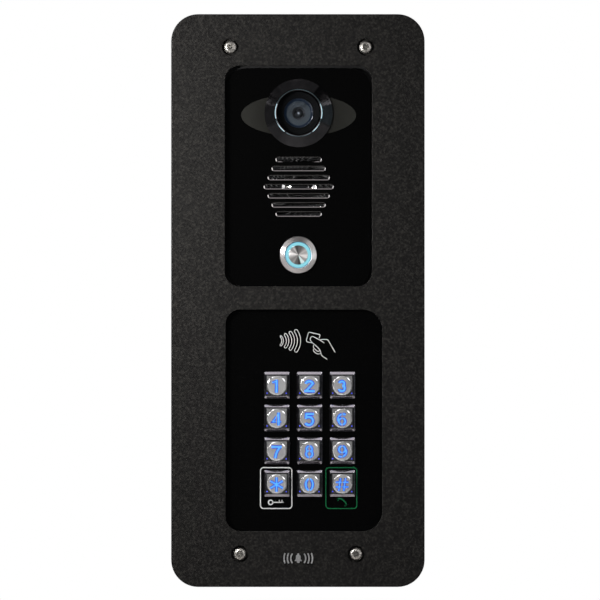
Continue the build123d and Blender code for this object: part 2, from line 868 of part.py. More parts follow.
with BuildPart() as keypad_frame:
    with BuildSketch(front(keypad_frame_back)):
        with Locations((key_grid_x, key_grid_z)):
            RectangleRounded(*plate_size, 3)
    extrude(amount=flange_back - keypad_frame_back)
    collar_foot = collar_front - collar_bevel_height
    with BuildSketch(front(flange_back)):
        with Locations((key_grid_x, key_grid_z - collar_drop)):
            with GridLocations(key_pitch, key_pitch, 3, 4):
                RectangleRounded(collar_width, collar_height, key_corner)
    extrude(amount=collar_foot - flange_back)
    crest_width = collar_width - 2 * collar_bevel_side
    crest_height = collar_height - 2 * collar_bevel_end
    for place in GridLocations(key_pitch, key_pitch, 3, 4):
        collar_x = key_grid_x + place.position.X
        collar_z = key_grid_z - collar_drop + place.position.Y
        with BuildSketch(front(collar_foot)):
            with Locations((collar_x, collar_z)):
                RectangleRounded(collar_width, collar_height, key_corner)
        with BuildSketch(front(collar_front)):
            with Locations((collar_x, collar_z)):
                RectangleRounded(crest_width, crest_height, key_corner / 2)
        loft()
    opening = (key_width + 2 * key_clearance, key_height + 2 * key_clearance)
    with BuildSketch(front(keypad_frame_back)):
        with Locations((key_grid_x, key_grid_z - key_drop)):
            with GridLocations(key_pitch, key_pitch, 3, 4):
                RectangleRounded(*opening, key_corner)
    extrude(amount=collar_front - keypad_frame_back, mode=Mode.SUBTRACT)
    with BuildSketch(front(keypad_frame_back)):
        with Locations((key_grid_x, key_grid_z)):
            with GridLocations(*pillar_spacing, 2, 2):
                Circle(2.0)
    extrude(amount=mat_back - keypad_frame_back)
keypad_frame.part.label = "keypad_frame"
export_step(keypad_frame.part, "parts/keypad_frame.step")

# Silicone mat: one dome under each key.
with BuildPart() as keypad_mat:
    with BuildSketch(front(mat_back)):
        with Locations((key_grid_x, key_grid_z)):
            RectangleRounded(*plate_size, 3)
            with GridLocations(*pillar_spacing, 2, 2):
                Circle(2.2, mode=Mode.SUBTRACT)
    extrude(amount=mat_front - mat_back)
    with BuildSketch(front(mat_front)):
        with Locations((key_grid_x, key_grid_z)):
            with GridLocations(key_pitch, key_pitch, 3, 4):
                Circle(5.5)
    extrude(amount=key_back - mat_front, taper=22)
keypad_mat.part.label = "keypad_mat"
export_step(keypad_mat.part, "parts/keypad_mat.step")

with BuildPart() as keypad_board:
    with BuildSketch(front(mat_back - 1.6)):
        with Locations((key_grid_x, key_grid_z)):
            RectangleRounded(*plate_size, 3)
    extrude(amount=1.6)
    # Controller chip and ribbon-cable socket on the back.
    with BuildSketch(front(mat_back - 1.6)):
        with Locations((key_grid_x, key_grid_z + 10)):
            Rectangle(10, 10)
        with Locations((key_grid_x, key_grid_z - 30)):
            Rectangle(22, 7)
    extrude(amount=-3)
keypad_board.part.label = "keypad_board"
export_step(keypad_board.part, "parts/keypad_board.step")

with BuildPart() as rfid_antenna:
    with BuildSketch(front(flange_back - 1.0)):
        with Locations((key_grid_x, -21)):
            RectangleRounded(80, 22, 2)
            RectangleRounded(56, 8, 1, mode=Mode.SUBTRACT)
    extrude(amount=1.0)
rfid_antenna.part.label = "rfid_antenna"
export_step(rfid_antenna.part, "parts/rfid_antenna.step")

# -------------------------------------------------------------------------------- keys

top = 3.85  # half a mark's height
stroke_end = top - mark_stroke / 2


def bridge(x, width=0.55, lean=0):
    """Cuts a mark in two, so that the metal inside its loops stays joined to the key."""
    with Locations((x, 0)):
        Rectangle(width, 3 * top, rotation=lean, mode=Mode.SUBTRACT)


def ring(z, radius, stroke):
    with Locations((0, z)):
        Circle(radius + stroke / 2)
        Circle(radius - stroke / 2, mode=Mode.SUBTRACT)


def draw_one(stroke):
    trace(Line((0, -top), (0, top)), line_width=stroke)
    trace(Line((-2.6, 2.1), (0, 3.0)), line_width=stroke - 0.45)


def draw_two(stroke):
    bowl = ThreePointArc((-2.15, 1.5), (0.4, stroke_end), (2.1, 1.6))
    trace([bowl, Line((2.1, 1.6), (-2.0, -stroke_end))], line_width=stroke)
    trace(Line((-3.0, -stroke_end), (3.2, -stroke_end)), line_width=stroke)


def draw_three(stroke):
    trace(ThreePointArc((-1.6, 1.85), (1.15, 2.1), (0.2, -0.1)), line_width=stroke)
    trace(ThreePointArc((0.1, 0.45), (1.3, -2.05), (-1.8, -1.65)), line_width=stroke)


def draw_four(stroke):
    arm = stroke - 0.5
    trace(Line((1.2, -top), (1.2, top)), line_width=stroke)
    trace([Line((1.2, 3.1), (-2.2, -1.65)), Line((-2.2, -1.65), (2.8, -1.65))], line_width=arm)
    bridge(0, 0.5)


def draw_five(stroke):
    trace([Line((2.8, stroke_end), (-1.7, stroke_end)), Line((-1.7, stroke_end), (-2, 0.15))], line_width=stroke)
    trace(ThreePointArc((-2.2, 0.15), (2.15, -1.4), (-2.3, -2.3)), line_width=stroke)


def draw_six(stroke):
    thin = stroke - 0.3
    trace(ThreePointArc((-2.25, -1.3), (-1.4, 2.2), (2.1, 2.5)), line_width=thin)
    ring(-1.4, 1.9, thin)
    bridge(0)


def draw_seven(stroke):
    trace(Line((-3.05, stroke_end), (3.05, stroke_end)), line_width=stroke)
    trace(ThreePointArc((2.4, 3.0), (0.1, -0.4), (-0.7, -top)), line_width=stroke)


def draw_eight(stroke):
    thin = stroke - 0.3
    ring(1.6, 1.65, thin)
    ring(-1.25, 1.9, thin)
    bridge(0)


def draw_nine(stroke):
    thin = stroke - 0.3
    trace(ThreePointArc((2.25, 1.3), (1.4, -2.2), (-2.1, -2.5)), line_width=thin)
    ring(1.4, 1.9, thin)
    bridge(0)


def draw_zero(stroke):
    thin = stroke - 0.2
    Ellipse(2.05 + thin / 2, top)
    Ellipse(2.05 - thin / 2, top - thin, mode=Mode.SUBTRACT)
    bridge(0, 0.7)


def draw_star(stroke):
    for turn in (0, 60, 120):
        Rectangle(stroke - 0.3, 2 * top + 0.9, rotation=turn)


def draw_hash(stroke):
    thin = stroke - 0.6
    for x in (-1.5, 1.5):
        with Locations((x, 0)):
            Rectangle(thin, 2 * top, rotation=-8)
    for z in (-1.4, 1.4):
        with Locations((0, z)):
            Rectangle(7.6, thin)
    bridge(0, 0.6, -8)


marks = [
    [("key_1", draw_one), ("key_2", draw_two), ("key_3", draw_three)],
    [("key_4", draw_four), ("key_5", draw_five), ("key_6", draw_six)],
    [("key_7", draw_seven), ("key_8", draw_eight), ("key_9", draw_nine)],
    [("key_star", draw_star), ("key_0", draw_zero), ("key_hash", draw_hash)],
]
key_flange_thickness = 1.2
bevel_back = fascia_front + 1.75
plateau = fascia_front + 2.5
disc_front = plateau + key_disc_height
corner_line = (key_disc_radius + 0.15) * 2**0.5  # where the line crosses the disc's axes
corner_reach = 11.0  # well outside the key
corner_taper = degrees(atan2(corner_run, corner_fall))
cavity = 10.8  # the square hollow that the resin fills
cavity_front = plateau - 1.6
resin_front = cavity_front - 0.02


def make_key(name, draw, x, z):
    """One metal key with its mark cut through, and the clear resin that fills it."""
    with BuildPart() as key:
        with BuildSketch(front(key_back)):
            with Locations((x, z)):
                RectangleRounded(key_flange, key_flange, key_corner)
        extrude(amount=key_flange_thickness)
        with BuildSketch(front(key_back)):
            with Locations((x, z - key_drop)):
                RectangleRounded(key_width, key_height, key_corner)
        extrude(amount=bevel_back - key_back)
        with BuildSketch(front(bevel_back)):
            with Locations((x, z - key_drop)):
                RectangleRounded(key_width, key_height, key_corner)
        with BuildSketch(front(plateau)):
            with Locations((x + plateau_x, z - plateau_drop)):
                RectangleRounded(plateau_width, plateau_height, key_corner / 2)
        loft()
        # Each lower corner falls away from a line that just clears the disc.
        for side in (-1, 1):
            with BuildSketch(front(plateau)):
                with Locations((x + plateau_x, z - key_disc_drop)):
                    Polygon(
                        (side * corner_reach, corner_reach - corner_line),
                        (side * corner_reach, -corner_reach),
                        (side * (corner_line - corner_reach), -corner_reach),
                        align=None,
                    )
            extrude(amount=-corner_fall, taper=corner_taper, mode=Mode.SUBTRACT)
        with BuildSketch(front(plateau)):
            with Locations((x + plateau_x, z - key_disc_drop)):
                Circle(key_disc_radius)
        extrude(amount=key_disc_height - disc_bevel)
        with BuildSketch(front(disc_front - disc_bevel)):
            with Locations((x + plateau_x, z - key_disc_drop)):
                Circle(key_disc_radius)
        extrude(amount=disc_bevel, taper=degrees(atan2(disc_bevel_run, disc_bevel)))
        with BuildSketch(front(key_back)):
            with Locations((x, z)):
                Rectangle(cavity, cavity)
        extrude(amount=cavity_front - key_back, mode=Mode.SUBTRACT)
        with BuildSketch(mode=Mode.PRIVATE) as hole:
            draw(mark_stroke + 2 * mark_gap)
        with BuildSketch(front(cavity_front)):
            with Locations((x + mark_x, z - mark_drop)):
                add(hole.sketch)
        extrude(amount=disc_front - cavity_front, mode=Mode.SUBTRACT)
    key.part.label = name
    export_step(key.part, f"parts/{name}.step")

    with BuildPart() as legend:
        with BuildSketch(front(key_back)):
            with Locations((x, z)):
                Rectangle(cavity - 0.1, cavity - 0.1)
        extrude(amount=resin_front - key_back)
        steps = [(mark_stroke, disc_front - 0.4), (mark_stroke - 2 * mark_rim, disc_front - 0.05)]
        for stroke, level in steps:
            with BuildSketch(mode=Mode.PRIVATE) as fill:
                draw(stroke)
            with BuildSketch(front(resin_front)):
                with Locations((x + mark_x, z - mark_drop)):
                    add(fill.sketch)
            extrude(amount=level - resin_front)
    legend.part.label = f"{name}_legend"
    export_step(legend.part, f"parts/{name}_legend.step")


for row, line in enumerate(marks):
    for column, (name, draw) in enumerate(line):
        key_x = key_grid_x + (column - 1) * key_pitch
        key_z = key_grid_z + (1.5 - row) * key_pitch
        make_key(name, draw, key_x, key_z)
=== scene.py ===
import json
import math
import bmesh
import bpy
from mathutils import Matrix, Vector


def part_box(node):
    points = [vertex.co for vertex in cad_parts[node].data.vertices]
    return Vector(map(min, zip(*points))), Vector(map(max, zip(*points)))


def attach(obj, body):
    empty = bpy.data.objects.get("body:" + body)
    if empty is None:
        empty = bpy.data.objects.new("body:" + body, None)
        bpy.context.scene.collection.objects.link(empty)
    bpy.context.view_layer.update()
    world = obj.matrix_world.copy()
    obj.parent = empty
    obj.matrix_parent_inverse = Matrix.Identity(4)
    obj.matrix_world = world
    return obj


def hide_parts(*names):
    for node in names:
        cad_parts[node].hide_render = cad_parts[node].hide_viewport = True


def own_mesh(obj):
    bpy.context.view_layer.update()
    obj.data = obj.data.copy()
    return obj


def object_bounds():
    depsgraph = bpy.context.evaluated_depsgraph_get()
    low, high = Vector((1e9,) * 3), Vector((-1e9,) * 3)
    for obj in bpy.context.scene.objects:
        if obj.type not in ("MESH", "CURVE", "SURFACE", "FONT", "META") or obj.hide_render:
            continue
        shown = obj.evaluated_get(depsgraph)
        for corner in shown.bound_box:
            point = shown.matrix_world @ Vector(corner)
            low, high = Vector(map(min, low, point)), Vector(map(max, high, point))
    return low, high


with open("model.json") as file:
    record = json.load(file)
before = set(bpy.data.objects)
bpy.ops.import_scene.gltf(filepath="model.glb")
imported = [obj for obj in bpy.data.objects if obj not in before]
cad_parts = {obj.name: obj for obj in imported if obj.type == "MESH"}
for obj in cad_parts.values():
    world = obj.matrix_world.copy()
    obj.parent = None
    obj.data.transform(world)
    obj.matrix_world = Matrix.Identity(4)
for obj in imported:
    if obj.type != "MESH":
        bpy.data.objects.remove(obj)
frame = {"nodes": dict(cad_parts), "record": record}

cad_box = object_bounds()
nodes = frame["nodes"]
slot_of = {part["node"]: part["material_slot"] for part in frame["record"]["subparts"]}
MM = 0.001


def middle(node):
    """Centre of a CAD node's box."""
    low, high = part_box(node)
    return (low + high) / 2


def gray(value):
    return (value, value, value)


def show(name, data):
    """A new object in the scene."""
    made = bpy.data.objects.new(name, data)
    bpy.context.collection.objects.link(made)
    return made


def finished_mesh(name, mesh, material):
    """Turns a bmesh into a shown object with one material."""
    data = bpy.data.meshes.new(name)
    mesh.to_mesh(data)
    mesh.free()
    data.materials.append(material)
    return show(name, data)


# ------------------------------------------------------------------- material building


class Finish:
    """A material with one Principled shader, and short names for the nodes that feed it."""

    def __init__(self, name, color=(0.5, 0.5, 0.5), roughness=0.5, metallic=0.0, **sockets):
        self.material = bpy.data.materials.new(name)
        self.material.use_nodes = True
        self.tree = self.material.node_tree
        self.shader = self.tree.nodes["Principled BSDF"]
        self.output = self.tree.nodes["Material Output"]
        self.set("Base Color", (*color, 1.0))
        self.set("Roughness", roughness)
        self.set("Metallic", metallic)
        for socket, value in sockets.items():
            self.set(socket.replace("_", " "), value)
        self.coordinates = self.add("ShaderNodeTexCoord").outputs["Object"]
        self.heights = []

    def set(self, socket, value):
        self.shader.inputs[socket].default_value = value

    def add(self, kind, **settings):
        node = self.tree.nodes.new(kind)
        for key, value in settings.items():
            setattr(node, key, value)
        return node

    def link(self, source, target):
        self.tree.links.new(source, target)

    def feed(self, node, socket, value):
        if hasattr(value, "is_output"):
            self.link(value, node.inputs[socket])
        else:
            node.inputs[socket].default_value = value

    def to_shader(self, socket, source):
        self.link(source, self.shader.inputs[socket])

    def math(self, operation, a, b=0.0, c=0.0):
        node = self.add("ShaderNodeMath", operation=operation)
        for index, value in enumerate((a, b, c)):
            self.feed(node, index, value)
        return node.outputs[0]

    def vector(self, operation, a, b=(0.0, 0.0, 0.0), output=0):
        node = self.add("ShaderNodeVectorMath", operation=operation)
        self.feed(node, 0, a)
        self.feed(node, 1, b)
        return node.outputs[output]

    def noise(self, scale, detail=3.0, rough=0.55, stretch=(1.0, 1.0, 1.0)):
        """Noise with features about 1/scale metres across."""
        where = self.vector("MULTIPLY", self.coordinates, stretch)
        node = self.add("ShaderNodeTexNoise")
        self.link(where, node.inputs["Vector"])
        node.inputs["Scale"].default_value = scale
        node.inputs["Detail"].default_value = detail
        node.inputs["Roughness"].default_value = rough
        return node.outputs["Fac"]

    def cells(self, scale, feature="F1", randomness=1.0, output="Distance"):
        node = self.add("ShaderNodeTexVoronoi", feature=feature)
        self.link(self.coordinates, node.inputs["Vector"])
        node.inputs["Scale"].default_value = scale
        node.inputs["Randomness"].default_value = randomness
        return node.outputs[output]

    def span(self, source, low, high, out_low, out_high):
        """Maps low..high to out_low..out_high, held at both ends."""
        node = self.add("ShaderNodeMapRange", clamp=True)
        self.link(source, node.inputs["Value"])
        sockets = ("From Min", "From Max", "To Min", "To Max")
        for socket, value in zip(sockets, (low, high, out_low, out_high)):
            node.inputs[socket].default_value = value
        return node.outputs["Result"]

    def ramp(self, source, stops):
        """A colour ramp. stops are (position, (r, g, b))."""
        node = self.add("ShaderNodeValToRGB")
        self.link(source, node.inputs["Fac"])
        band = node.color_ramp
        while len(band.elements) > 1:
            band.elements.remove(band.elements[0])
        for index, (position, color) in enumerate(stops):
            element = band.elements[0] if index == 0 else band.elements.new(position)
            element.position = position
            element.color = (*color, 1.0)
        return node.outputs["Color"]

    def mix(self, share, first, second):
        """From the first colour at share 0 to the second at share 1."""
        node = self.add("ShaderNodeMix", data_type="RGBA")
        # A Mix node's colour sockets are inputs 6 and 7 and output 2.
        self.link(share, node.inputs[0])
        self.link(first, node.inputs[6])
        self.link(second, node.inputs[7])
        return node.outputs[2]

    def bump(self, height, strength, depth_mm):
        """Adds relief. Each call goes on top of the last one."""
        node = self.add("ShaderNodeBump")
        node.inputs["Strength"].default_value = strength
        node.inputs["Distance"].default_value = depth_mm * MM
        self.link(height, node.inputs["Height"])
        if self.heights:
            self.link(self.heights[-1], node.inputs["Normal"])
        self.heights.append(node.outputs["Normal"])
        self.to_shader("Normal", self.heights[-1])

    def from_axis(self, centre):
        """Distance from the front-to-back axis through centre, and the direction round it."""
        offset = self.vector("SUBTRACT", self.coordinates, tuple(centre))
        flat = self.vector("MULTIPLY", offset, (1.0, 0.0, 1.0))
        distance = self.vector("LENGTH", flat, output=1)
        across = self.vector("CROSS_PRODUCT", flat, (0.0, 1.0, 0.0))
        return distance, self.vector("NORMALIZE", across)

    def facing(self):
        """How far the surface faces the front or back, and how far it faces up."""
        normal = self.parts(self.add("ShaderNodeNewGeometry").outputs["True Normal"])
        return self.math("ABSOLUTE", normal[1]), normal[2]

    def parts(self, source):
        """The x, y and z of a vector."""
        split = self.add("ShaderNodeSeparateXYZ")
        self.link(source, split.inputs[0])
        return split.outputs


finishes = {}


def finish_for(slot, **settings):
    made = Finish(slot + "_finish", **settings)
    finishes[slot] = made
    return made


# Textured black powder coat: pebbles and dimples about 1 mm across, with painted shade on the plate's cut
# edges, which are made darker than its faces.
coat = finish_for("powder_coat", color=(0.0075, 0.0075, 0.0078), roughness=0.6, Specular_IOR_Level=0.12)
pebbles = coat.cells(1150, feature="SMOOTH_F1")
dimples = coat.noise(820, detail=4.0, rough=0.65)
grain = coat.ramp(
    dimples,
    [(0.32, (0.003, 0.0029, 0.0028)), (0.5, (0.007, 0.0067, 0.0064)), (0.64, (0.019, 0.018, 0.0165))],
)
# Painted shade: walls that face neither front nor back get a near-black colour.
painted_shade_on_walls = coat.ramp(dimples, [(0.3, gray(0.0006)), (0.7, gray(0.0012))])
outer_face = coat.span(coat.facing()[0], 0.25, 0.4, 0.0, 1.0)
coat.to_shader("Base Color", coat.mix(outer_face, painted_shade_on_walls, grain))
coat.to_shader("Roughness", coat.span(dimples, 0.3, 0.7, 0.5, 0.68))
coat.bump(pebbles, 0.6, 0.1)
coat.bump(dimples, 0.85, 0.2)

# Hot-dip galvanised sheet: spangled crystals and faint rolling lines.
zinc = finish_for("galvanised_steel", color=(0.45, 0.46, 0.47), roughness=0.42, metallic=1.0)
spangles_per_metre = 125
to_gray = zinc.add("ShaderNodeRGBToBW")
zinc.link(zinc.cells(spangles_per_metre, output="Color"), to_gray.inputs[0])
spangle = to_gray.outputs[0]
zinc.to_shader("Base Color", zinc.ramp(spangle, [(0.2, (0.4, 0.41, 0.42)), (0.8, (0.48, 0.49, 0.5))]))
zinc.to_shader("Roughness", zinc.span(spangle, 0.2, 0.8, 0.42, 0.52))
zinc.bump(zinc.noise(260, stretch=(1.0, 1.0, 0.05)), 0.15, 0.04)
zinc.bump(zinc.cells(spangles_per_metre, feature="DISTANCE_TO_EDGE"), 0.08, 0.05)

# Black rubber: dull and uneven, with a fine skin.
rubber = finish_for("black_rubber", color=(0.018, 0.018, 0.019), roughness=0.78, Specular_IOR_Level=0.3)
skin = rubber.noise(1400, detail=2.0)
rubber_tones = [(0.35, (0.013, 0.013, 0.014)), (0.75, (0.028, 0.028, 0.027))]
rubber.to_shader("Base Color", rubber.ramp(rubber.noise(180), rubber_tones))
rubber.bump(skin, 0.35, 0.05)


def steel(slot, color, roughness, scale=700, **settings):
    """Steel with fine machining marks and uneven polish."""
    made = finish_for(slot, color=color, roughness=roughness, metallic=1.0, **settings)
    marks = made.noise(scale, detail=5.0)
    lighter = tuple(min(1.0, c * 1.15) for c in color)
    darker = tuple(c * 0.86 for c in color)
    made.to_shader("Base Color", made.ramp(marks, [(0.3, darker), (0.7, lighter)]))
    made.to_shader("Roughness", made.span(marks, 0.3, 0.7, roughness * 0.8, roughness * 1.25))
    made.bump(marks, 0.12, 0.02)


steel("stainless_screw", (0.4, 0.385, 0.36), 0.45)
steel("badge_silver", (0.62, 0.62, 0.63), 0.42, 1500)
steel("speaker_steel", (0.5, 0.5, 0.47), 0.4)
steel("magnet_steel", (0.38, 0.38, 0.39), 0.4)
steel("microphone_can", gray(0.6), 0.35)
steel("spring_steel", gray(0.6), 0.25)


gloss_tone = gray(0.0009)


def gloss_black(slot):
    """Polished black plastic, uneven in its polish, with a little dust."""
    made = finish_for(slot, color=gloss_tone, roughness=0.06, Specular_IOR_Level=0.4)
    cloud = made.noise(14, detail=4.0)
    made.to_shader("Roughness", made.span(cloud, 0.3, 0.75, 0.045, 0.1))
    dust = made.span(made.noise(2600, detail=1.0), 0.74, 0.82, 0.0, 1.0)
    made.to_shader("Base Color", made.ramp(dust, [(0.0, gloss_tone), (1.0, gray(0.003))]))
    made.bump(cloud, 0.05, 0.02)
    return made


gloss_black("keypad_gloss")
fascia = gloss_black("fascia_gloss")
# The slots' flared mouths are bright metal; where they face down, at the slots' upper edges, they are dimmed
# to a painted shade.
flare_facing = 0.796
front_facing, up_facing = fascia.facing()
flare_with_painted_shade = fascia.math("COMPARE", front_facing, flare_facing, 0.05)
# Painted shade: the flare's brightness drops to 0.08 where it faces down.
flare_with_painted_shade = fascia.math("MULTIPLY", flare_with_painted_shade, fascia.span(up_facing, -0.5, -0.2, 0.08, 1.0))
fascia.to_shader("Metallic", flare_with_painted_shade)
fascia.to_shader("Base Color", fascia.ramp(flare_with_painted_shade, [(0.0, gloss_tone), (1.0, (0.13, 0.125, 0.125))]))

# Moulded tray behind the upper fascia: fine spark-eroded texture.
tray = finish_for("carrier_plastic", color=(0.0035, 0.0035, 0.004), roughness=0.55, Specular_IOR_Level=0.3)
spark = tray.noise(1800, detail=3.0)
tray.to_shader("Roughness", tray.span(spark, 0.3, 0.7, 0.48, 0.66))
tray.bump(spark, 0.4, 0.03)

# Smoked infra-red windows: dark, faintly green, a little milky towards the tips.
smoke = finish_for("smoked_window", color=(0.02, 0.021, 0.018), roughness=0.16, Specular_IOR_Level=0.4)
tips = smoke.span(smoke.from_axis(middle("ir_window"))[0], 0.016, 0.034, 0.0, 1.0)
haze = smoke.noise(420)
mixed = smoke.math("MULTIPLY_ADD", smoke.math("SUBTRACT", haze, 0.5), 0.35, tips)
smoke_tones = [(0.0, (0.0105, 0.0104, 0.0094)), (1.0, (0.018, 0.0183, 0.0165))]
smoke.to_shader("Base Color", smoke.ramp(mixed, smoke_tones))
smoke.to_shader("Roughness", smoke.span(haze, 0.3, 0.7, 0.12, 0.22))

# Infra-red lamps: nearly black epoxy.
lamp = finish_for("infrared_lens", color=(0.012, 0.009, 0.014), roughness=0.12)
lamp.to_shader("Roughness", lamp.span(lamp.noise(900), 0.3, 0.7, 0.08, 0.2))

# Camera bezel: black nickel, polished, with faint turning marks, and a pale cyan band on the chamfer painted
# as a highlight.
bezel = finish_for("dark_chrome", color=(0.05, 0.05, 0.052), roughness=0.12, metallic=1.0)
chamfer_radius = 0.01389
distance = bezel.from_axis(middle("camera_bezel"))[0]
turning = bezel.math("SINE", bezel.math("MULTIPLY", distance, 26000.0))
bezel.bump(turning, 0.04, 0.01)
worn = bezel.noise(300, detail=4.0)
bezel.to_shader("Roughness", bezel.span(worn, 0.3, 0.7, 0.05, 0.085))
# Painted highlight: a narrow band at the chamfer's radius gets a pale cyan colour.
chamfer = bezel.math("COMPARE", distance, chamfer_radius, 0.00015)
tone = bezel.math("MULTIPLY_ADD", chamfer, 2.0, worn)
nickel, nickel_dark, painted_rim_highlight = (0.053, 0.051, 0.054), (0.04, 0.039, 0.041), (0.1, 0.155, 0.175)
bezel_tones_with_painted_highlight = [(0.1, nickel_dark), (0.24, nickel), (0.6, nickel), (0.7, painted_rim_highlight)]
bezel.to_shader("Base Color", bezel.ramp(bezel.span(tone, 0.0, 3.0, 0.0, 1.0), bezel_tones_with_painted_highlight))


def clear_pane(slot, tint, roughness, index):
    """Coated flat glass: see-through, with reflections that grow at a glance."""
    made = finish_for(slot, color=tint, roughness=roughness)
    clear = made.add("ShaderNodeBsdfTransparent")
    clear.inputs["Color"].default_value = (*tint, 1.0)
    gloss = made.add("ShaderNodeBsdfGlossy")
    gloss.inputs["Color"].default_value = (0.85, 0.92, 1.0, 1.0)
    smear = made.noise(60, detail=4.0)
    made.link(made.span(smear, 0.3, 0.7, roughness * 0.6, roughness * 1.6), gloss.inputs["Roughness"])
    edge = made.add("ShaderNodeFresnel")
    edge.inputs["IOR"].default_value = index
    mix = made.add("ShaderNodeMixShader")
    made.link(edge.outputs[0], mix.inputs[0])
    made.link(clear.outputs[0], mix.inputs[1])
    made.link(gloss.outputs[0], mix.inputs[2])
    made.link(mix.outputs[0], made.output.inputs["Surface"])


clear_pane("cover_glass", (0.97, 0.98, 1.0), 0.03, 1.16)
clear_pane("lens_glass", (0.95, 0.97, 1.0), 0.02, 1.04)

# Camera internals: anodised black, and a blue-grey face round the pupil whose colours are also given as
# emission, a painted glow that fills the shade inside the tube.
hood = finish_for("camera_black", color=gray(0.0009), roughness=0.5, Specular_IOR_Level=0.1)
hood.bump(hood.noise(1500), 0.25, 0.03)
barrel = finish_for("lens_barrel", color=(0.06, 0.068, 0.078), roughness=0.5, Specular_IOR_Level=0.3)
barrel_radius = 0.0087
distance = barrel.from_axis(middle("camera_lens_barrel"))[0]
bands_and_painted_glow = barrel.ramp(
    barrel.span(distance, 0.0, barrel_radius, 0.0, 1.0),
    [
        (0.0, gray(0.012)),
        (0.43, gray(0.014)),
        (0.45, (0.021, 0.0235, 0.0245)),
        (0.81, (0.022, 0.0255, 0.027)),
        (0.835, (0.003, 0.007, 0.014)),
        (1.0, (0.002, 0.004, 0.008)),
    ],
)
barrel.to_shader("Base Color", bands_and_painted_glow)
# Painted glow: the same colours are given as emission.
barrel.to_shader("Emission Color", bands_and_painted_glow)
barrel.set("Emission Strength", 1.0)
barrel.bump(barrel.noise(2200), 0.1, 0.01)


def circuit(slot, base, track):
    """Solder-masked circuit board: copper tracks show through as lighter lines."""
    made = finish_for(slot, color=base, roughness=0.35)
    brick = made.add("ShaderNodeTexBrick")
    turned = made.add("ShaderNodeMapping")
    turned.inputs["Rotation"].default_value = (math.radians(90), 0, 0)
    made.link(made.coordinates, turned.inputs["Vector"])
    made.link(turned.outputs[0], brick.inputs["Vector"])
    brick.inputs["Scale"].default_value = 240
    brick.inputs["Mortar Size"].default_value = 0.03
    brick.inputs["Color1"].default_value = (*base, 1.0)
    brick.inputs["Color2"].default_value = (*tuple(c * 0.8 for c in base), 1.0)
    brick.inputs["Mortar"].default_value = (*track, 1.0)
    made.to_shader("Base Color", brick.outputs["Color"])
    made.bump(brick.outputs["Fac"], 0.3, 0.03)


circuit("camera_pcb", (0.02, 0.09, 0.05), (0.06, 0.2, 0.1))
circuit("green_pcb", (0.02, 0.15, 0.07), (0.06, 0.28, 0.12))
circuit("keypad_pcb", (0.02, 0.12, 0.06), (0.06, 0.25, 0.11))


def plastic(slot, color, roughness=0.45):
    """Moulded plastic with a light grain."""
    made = finish_for(slot, color=color, roughness=roughness)
    flow = made.noise(500, detail=3.0)
    made.to_shader("Base Color", made.ramp(flow, [(0.3, tuple(c * 0.88 for c in color)), (0.7, color)]))
    made.bump(flow, 0.2, 0.03)


plastic("switch_plastic", gray(0.03))
plastic("terminal_green", (0.03, 0.3, 0.1))
plastic("silicone", (0.7, 0.7, 0.68), 0.6)
plastic("antenna_amber", (0.45, 0.22, 0.04), 0.3)

# Aluminised film: shiny, a little crumpled.
film = finish_for("mylar", color=(0.42, 0.41, 0.41), roughness=0.2, metallic=1.0)
crumple = film.noise(260, detail=3.0)
film.to_shader("Roughness", film.span(crumple, 0.3, 0.7, 0.08, 0.2))
film.bump(crumple, 0.25, 0.15)

# Turned stainless push button: the grain runs round its axis.
turned = finish_for(
    "button_steel",
    color=(0.6, 0.6, 0.61),
    roughness=0.3,
    metallic=0.65,
    Anisotropic=0.8,
    Anisotropic_Rotation=0.25,
)
distance, around = turned.from_axis(middle("call_button_cap"))
turned.to_shader("Tangent", around)
rings = turned.add("ShaderNodeTexNoise", noise_dimensions="1D")
turned.link(turned.math("MULTIPLY", distance, 9000.0), rings.inputs["W"])
rings.inputs["Scale"].default_value = 1.0
turned.bump(rings.outputs["Fac"], 0.2, 0.015)
# The bezel is polished more than the cap. Lighter and darker wedges of painted highlight and painted shade
# are placed
# round the clock: 9 o'clock at 0 and 1, 12 at 0.25, 3 at 0.5, 6 at 0.75.
turned.to_shader("Roughness", turned.span(distance, 0.0074, 0.0078, 0.32, 0.22))
direction = turned.parts(around)
clock = turned.math("ARCTAN2", direction[0], direction[2])
clock = turned.span(clock, -math.pi, math.pi, 0.0, 1.0)
cap_painted_sheen = [
    (0.0, 0.62), (0.05, 0.5), (0.09, 0.3), (0.13, 0.33), (0.155, 0.6), (0.18, 0.3), (0.2, 0.07),
    (0.245, 0.08), (0.26, 0.14), (0.32, 0.16), (0.36, 0.3), (0.41, 0.55), (0.45, 0.42), (0.5, 0.62),
    (0.54, 0.5), (0.585, 0.28), (0.625, 0.35), (0.64, 0.98), (0.695, 0.98), (0.71, 0.05), (0.745, 0.06),
    (0.76, 0.13), (0.81, 0.16), (0.84, 0.4), (0.87, 0.28), (0.91, 0.26), (0.95, 0.45), (1.0, 0.62),
]
cap_painted_tones = [(hour, (min(tone * 1.35, 1.0), tone * 1.3, tone * 1.3)) for hour, tone in cap_painted_sheen]
cap = turned.ramp(clock, cap_painted_tones)
rim_painted_sheen = [
    (0.0, (0.42, 0.4, 0.4)), (0.14, (0.45, 0.43, 0.43)), (0.21, (0.2, 0.19, 0.19)),
    (0.29, (0.2, 0.19, 0.19)), (0.36, (0.4, 0.38, 0.38)), (0.5, (0.75, 0.73, 0.73)),
    (0.64, (0.5, 0.47, 0.47)), (0.86, (0.5, 0.47, 0.47)), (1.0, (0.42, 0.4, 0.4)),
]
on_rim = turned.span(distance, 0.0069, 0.0071, 0.0, 1.0)
turned.to_shader("Base Color", turned.mix(on_rim, cap, turned.ramp(clock, rim_painted_sheen)))

